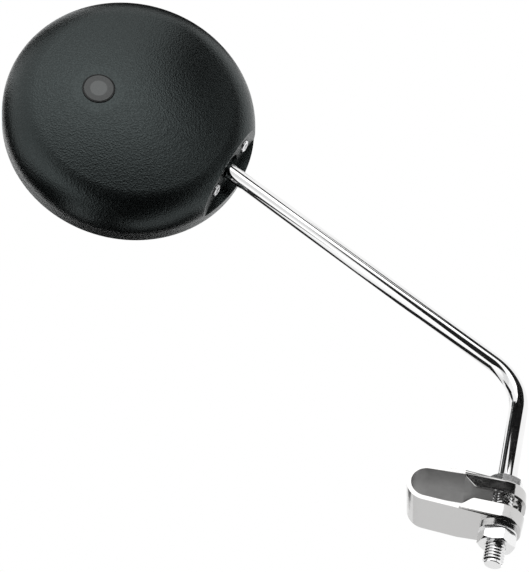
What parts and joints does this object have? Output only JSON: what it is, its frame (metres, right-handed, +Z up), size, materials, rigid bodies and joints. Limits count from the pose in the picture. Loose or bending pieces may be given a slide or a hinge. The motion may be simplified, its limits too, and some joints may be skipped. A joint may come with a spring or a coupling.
{
  "type": "motorcycle mirror",
  "caption": "Round motorcycle mirror: black plastic head with a ball joint on a bent plated stem, bolted to a pressed strap clamp for the handlebar.",
  "frame": {"origin": "axis of the handlebar in the clamp's loop, at the middle of the strap's width", "axes": "+Y along the handlebar, +Z up along the stem's threaded end, +X from the loop to the stem"},
  "size_m": [0.2772, 0.1103, 0.2312],
  "materials": {
    "head_plastic": "fine grain",
    "badge": "satin",
    "mirror": "polished",
    "gasket": "matte",
    "plating": "polished",
    "clamp_steel": "satin",
    "screw_steel": "satin",
    "seat_plastic": "satin"
  },
  "bodies": {
    "clamp": {"bar_clamp": "clamp_steel", "upper_washer": "plating", "lower_washer": "plating"},
    "stem": {"stem": "plating", "upper_nut": "plating", "lower_nut": "plating"},
    "ball": {"stem_ball": "plating"},
    "seat": {"seat_front_half": "seat_plastic", "seat_rear_half": "seat_plastic"},
    "head": {"head_shell": "head_plastic", "mirror_glass": "mirror", "glass_gasket": "gasket", "socket_plate": "screw_steel", "socket_screws": "screw_steel", "badge_disc": "badge"}
  },
  "joints": [
    {"name": "stem_swivel", "type": "hinge", "parent": "clamp", "child": "stem", "pos_m": [0.0298, 0, 0], "axis": [0, 0, 1], "continuous": true},
    {"name": "ball_spin", "type": "hinge", "parent": "stem", "child": "ball", "pos_m": [-0.13254, -0.04168, 0.13802], "axis": [0.8876, 0.2279, -0.4003], "continuous": true},
    {"name": "head_tilt", "type": "hinge", "parent": "ball", "child": "seat", "pos_m": [-0.13254, -0.04168, 0.13802], "axis": [-0.2819, 0.956, -0.0808], "range_deg": [-3.5, 32.4]},
    {"name": "head_roll", "type": "hinge", "parent": "seat", "child": "head", "pos_m": [-0.13254, -0.04168, 0.13802], "axis": [0.9503, 0.2667, -0.1606], "continuous": true}
  ]
}
